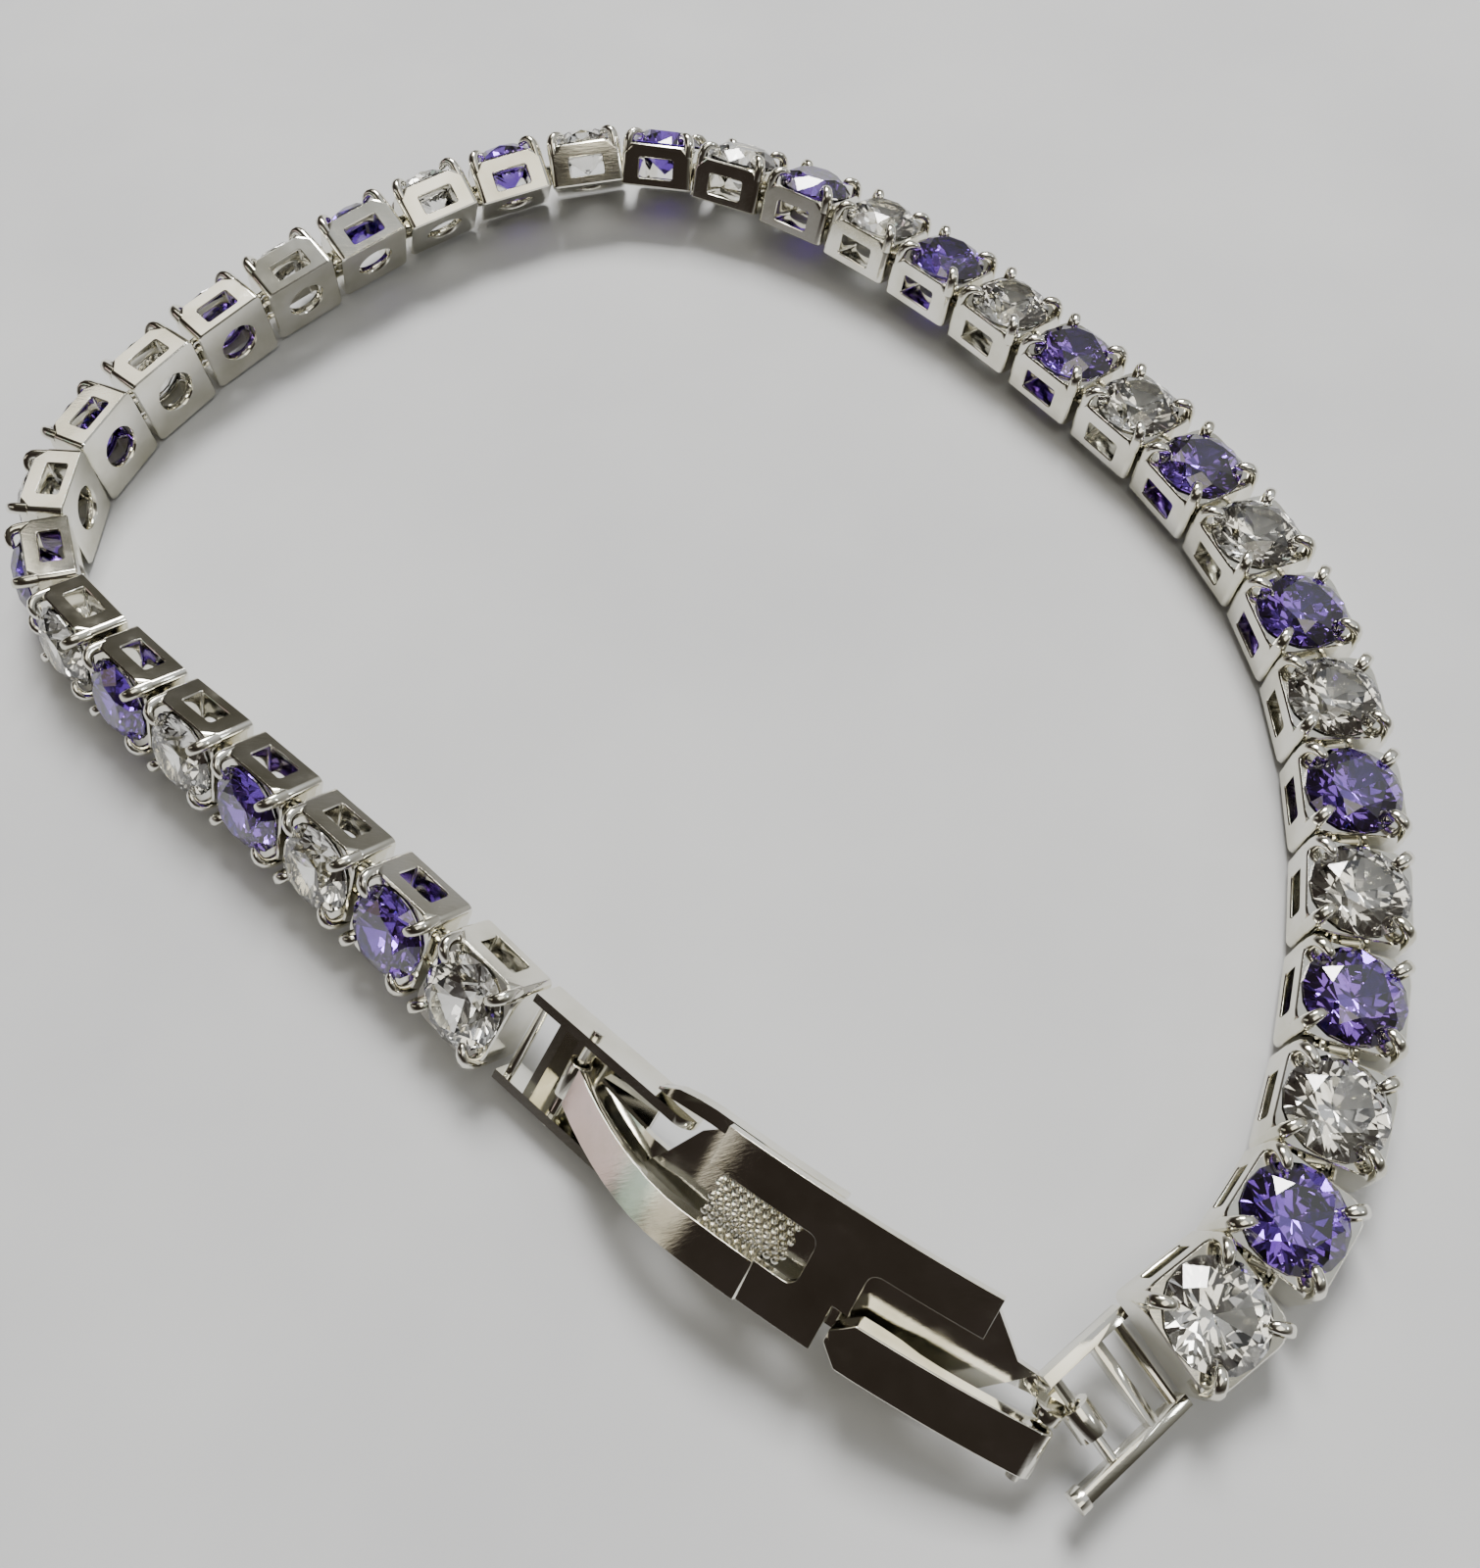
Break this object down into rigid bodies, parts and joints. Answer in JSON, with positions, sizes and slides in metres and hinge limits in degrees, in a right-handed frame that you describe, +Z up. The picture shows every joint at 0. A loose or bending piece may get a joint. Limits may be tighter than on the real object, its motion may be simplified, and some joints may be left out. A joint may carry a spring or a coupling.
{
  "type": "tennis bracelet",
  "caption": "Closed tennis bracelet of round clear and violet stones in square four-claw settings, with a folding clasp, lying on its side edge.",
  "frame": {"origin": "under the middle of the loop's bounding box, on the surface that it lies on", "axes": "+Z up from the surface, +Y across the loop from the clasp towards the far side, +X to the right"},
  "size_m": [0.0606, 0.0712, 0.0053],
  "materials": {
    "silver": "mirror polished",
    "clear_stone": "faceted and polished",
    "violet_stone": "faceted and polished"
  },
  "bodies": {
    "bracelet": {"settings_right": "silver", "settings_left": "silver", "channel_left": "silver", "clasp_base": "silver", "rods_right": "silver", "stone_01_clear": "clear_stone", "stone_02_violet": "violet_stone", "stone_03_clear": "clear_stone", "stone_04_violet": "violet_stone", "stone_05_clear": "clear_stone", "stone_06_violet": "violet_stone", "stone_07_clear": "clear_stone", "stone_08_violet": "violet_stone", "stone_09_clear": "clear_stone", "stone_10_violet": "violet_stone", "stone_11_clear": "clear_stone", "stone_12_violet": "violet_stone", "stone_13_clear": "clear_stone", "stone_14_violet": "violet_stone", "stone_15_clear": "clear_stone", "stone_16_violet": "violet_stone", "stone_17_clear": "clear_stone", "stone_18_violet": "violet_stone", "stone_19_clear": "clear_stone", "stone_20_violet": "violet_stone", "stone_21_clear": "clear_stone", "stone_22_violet": "violet_stone", "stone_23_clear": "clear_stone", "stone_24_violet": "violet_stone", "stone_25_clear": "clear_stone", "stone_26_violet": "violet_stone", "stone_27_clear": "clear_stone", "stone_28_violet": "violet_stone", "stone_29_clear": "clear_stone", "stone_30_violet": "violet_stone", "stone_31_clear": "clear_stone", "stone_32_violet": "violet_stone", "stone_33_clear": "clear_stone", "stone_34_violet": "violet_stone", "stone_35_clear": "clear_stone"},
    "cover": {"clasp_cover": "silver"},
    "latch": {"latch_tongue": "silver"}
  },
  "joints": [
    {"name": "cover_hinge", "type": "hinge", "parent": "bracelet", "child": "cover", "pos_m": [-0.00485, -0.01897, 0.00215], "axis": [-0.5856, -0.5273, -0.6157], "range_deg": [0, 90]},
    {"name": "latch_hinge", "type": "hinge", "parent": "bracelet", "child": "latch", "pos_m": [0.01029, -0.03236, 0.00256], "axis": [0.5835, 0.6733, 0.454], "range_deg": [0, 90]}
  ]
}
